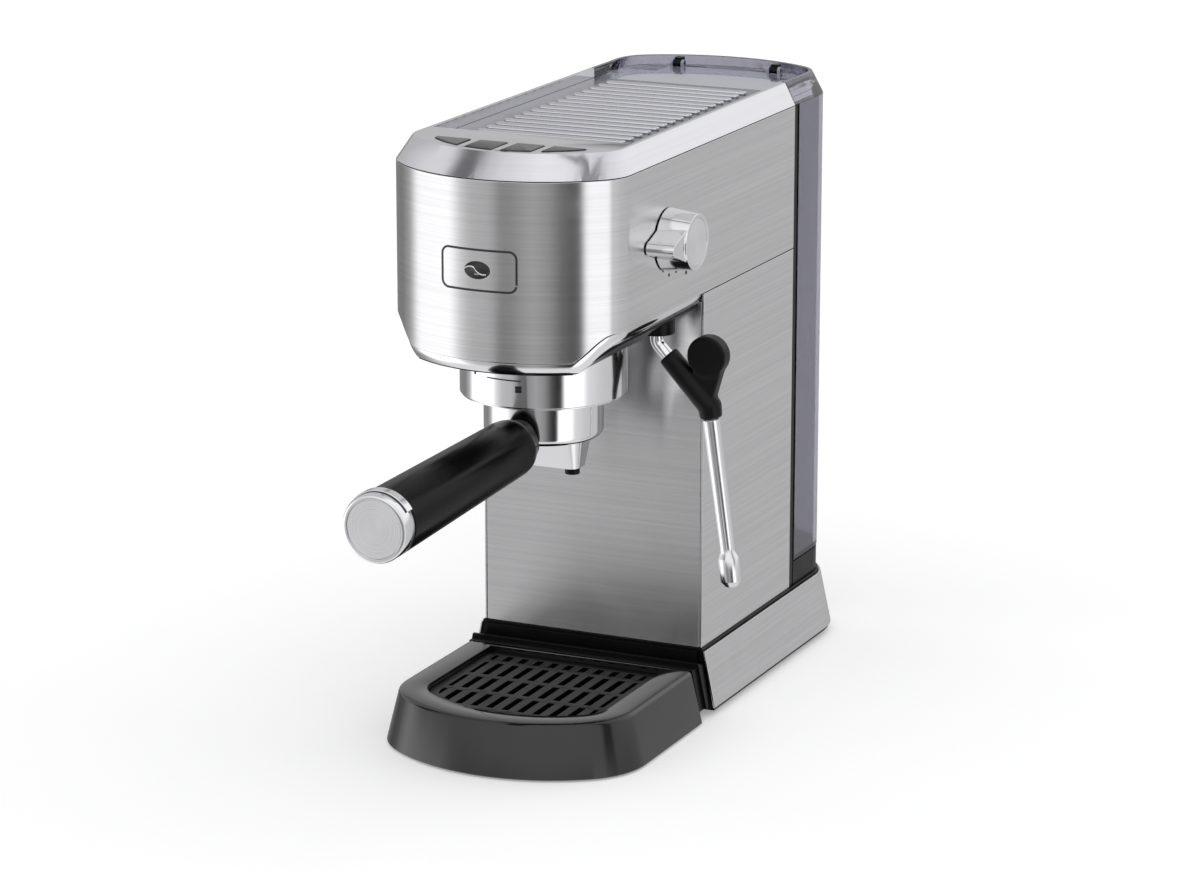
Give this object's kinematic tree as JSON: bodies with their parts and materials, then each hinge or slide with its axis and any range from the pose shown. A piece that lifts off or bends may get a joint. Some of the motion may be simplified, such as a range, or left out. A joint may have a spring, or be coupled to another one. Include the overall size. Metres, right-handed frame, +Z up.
{
  "type": "espresso machine",
  "caption": "Slim pump espresso machine with a bowed steel head, bayonet portafilter, swinging steam wand, drip tray and smoked lift-out tank.",
  "frame": {"origin": "on the counter plane, straight below the brew axis", "axes": "+Z up; the front faces -Y; +X is the side with the steam knob, the machine's left-hand side as it looks out at the user"},
  "size_m": [0.1719, 0.4626, 0.3262],
  "materials": {
    "brushed_panel": "fine horizontal brushing",
    "polished_chrome": "polished",
    "satin_rim": "satin",
    "cup_plate_steel": "satin pressed ribs",
    "black_plastic": "fine texture",
    "tray_plastic": "glossy",
    "grip_rubber": "soft satin",
    "foot_rubber": "matt",
    "seal_rubber": "matt silicone",
    "smoked_tank": "clear smoked",
    "key_gloss": "glossy",
    "badge_plate": "brushed with a dark outline",
    "cast_aluminium": "as cast",
    "stainless": "pressed stainless",
    "circuit_board": "solder mask",
    "pump_plastic": "moulded",
    "hose_silicone": "translucent silicone"
  },
  "bodies": {
    "machine": {"back_wall": "black_plastic", "badge": "badge_plate", "base_deck": "black_plastic", "base_front": "black_plastic", "base_pan": "black_plastic", "base_screws": "stainless", "base_skirt": "brushed_panel", "brew_valve": "black_plastic", "column_front": "brushed_panel", "column_side_left": "brushed_panel", "column_side_right": "brushed_panel", "control_board": "circuit_board", "cord_gland": "black_plastic", "cup_plate": "cup_plate_steel", "group_collar": "polished_chrome", "group_gasket": "seal_rubber", "group_head": "cast_aluminium", "head_floor": "black_plastic", "head_shell": "brushed_panel", "head_trim": "satin_rim", "inner_frame": "stainless", "power_board": "circuit_board", "pump": "pump_plastic", "pump_mounts": "foot_rubber", "rubber_feet": "foot_rubber", "shower_screen": "stainless", "shower_screw": "stainless", "steam_valve": "cast_aluminium", "tank_dock": "black_plastic", "thermoblock": "cast_aluminium", "thermostats": "black_plastic", "top_rim": "satin_rim", "wand_socket": "polished_chrome", "water_hoses": "hose_silicone"},
    "portafilter": {"portafilter_cup": "polished_chrome", "filter_basket": "stainless", "spout_block": "polished_chrome", "spout_tips": "black_plastic", "handle_neck": "polished_chrome", "handle_grip": "grip_rubber", "handle_cap": "polished_chrome"},
    "tray": {"drip_tray": "tray_plastic"},
    "grid": {"drip_grid": "black_plastic"},
    "tank": {"water_tank": "smoked_tank", "tank_rim": "smoked_tank", "lid_tabs": "black_plastic", "valve_cage": "pump_plastic", "valve_spring": "stainless"},
    "lid": {"tank_lid": "smoked_tank"},
    "outlet_valve": {"tank_valve": "seal_rubber"},
    "key_power_body": {"key_power": "key_gloss"},
    "key_one_cup_body": {"key_one_cup": "key_gloss"},
    "key_two_cups_body": {"key_two_cups": "key_gloss"},
    "key_steam_body": {"key_steam": "key_gloss"},
    "knob": {"steam_knob": "polished_chrome", "knob_disc": "polished_chrome", "steam_spindle": "stainless"},
    "wand": {"wand_tube": "polished_chrome", "wand_grip": "grip_rubber"},
    "frother": {"frother_sleeve": "polished_chrome"}
  },
  "joints": [
    {"name": "portafilter_lock", "type": "hinge", "parent": "machine", "child": "portafilter", "pos_m": [0, 0, 0.19], "axis": [0, 0, 1], "range_deg": [-45, 0]},
    {"name": "tray_slide", "type": "slide", "parent": "machine", "child": "tray", "axis": [0, -1, 0], "range_m": [0, 0.16]},
    {"name": "grid_lift", "type": "slide", "parent": "tray", "child": "grid", "axis": [0, 0, 1], "range_m": [0, 0.035]},
    {"name": "tank_lift", "type": "slide", "parent": "machine", "child": "tank", "axis": [0, 0, 1], "range_m": [0, 0.29]},
    {"name": "lid_hinge", "type": "hinge", "parent": "tank", "child": "lid", "pos_m": [0, 0.2408, 0.3219], "axis": [-1, 0, 0], "range_deg": [0, 90]},
    {"name": "outlet_valve_lift", "type": "slide", "parent": "tank", "child": "outlet_valve", "axis": [0, 0, 1], "range_m": [0, 0.003], "stiffness_N_per_m": 150, "springref_m": -0.003, "deforming": ["valve_spring"]},
    {"name": "key_power_press", "type": "slide", "parent": "machine", "child": "key_power_body", "axis": [0, 0, -1], "range_m": [0, 0.0015], "stiffness_N_per_m": 600, "springref_m": -0.001},
    {"name": "key_one_cup_press", "type": "slide", "parent": "machine", "child": "key_one_cup_body", "axis": [0, 0, -1], "range_m": [0, 0.0015], "stiffness_N_per_m": 600, "springref_m": -0.001},
    {"name": "key_two_cups_press", "type": "slide", "parent": "machine", "child": "key_two_cups_body", "axis": [0, 0, -1], "range_m": [0, 0.0015], "stiffness_N_per_m": 600, "springref_m": -0.001},
    {"name": "key_steam_press", "type": "slide", "parent": "machine", "child": "key_steam_body", "axis": [0, 0, -1], "range_m": [0, 0.0015], "stiffness_N_per_m": 600, "springref_m": -0.001},
    {"name": "steam_knob_turn", "type": "hinge", "parent": "machine", "child": "knob", "pos_m": [0.065, 0.0121, 0.272], "axis": [1, 0, 0], "range_deg": [0, 130]},
    {"name": "wand_swing", "type": "hinge", "parent": "machine", "child": "wand", "pos_m": [0.049, 0.0355, 0.222], "axis": [0, 0, 1], "range_deg": [-45, 40]},
    {"name": "frother_pull", "type": "slide", "parent": "wand", "child": "frother", "axis": [0.1391, 0, -0.9903], "range_m": [0, 0.05]}
  ]
}
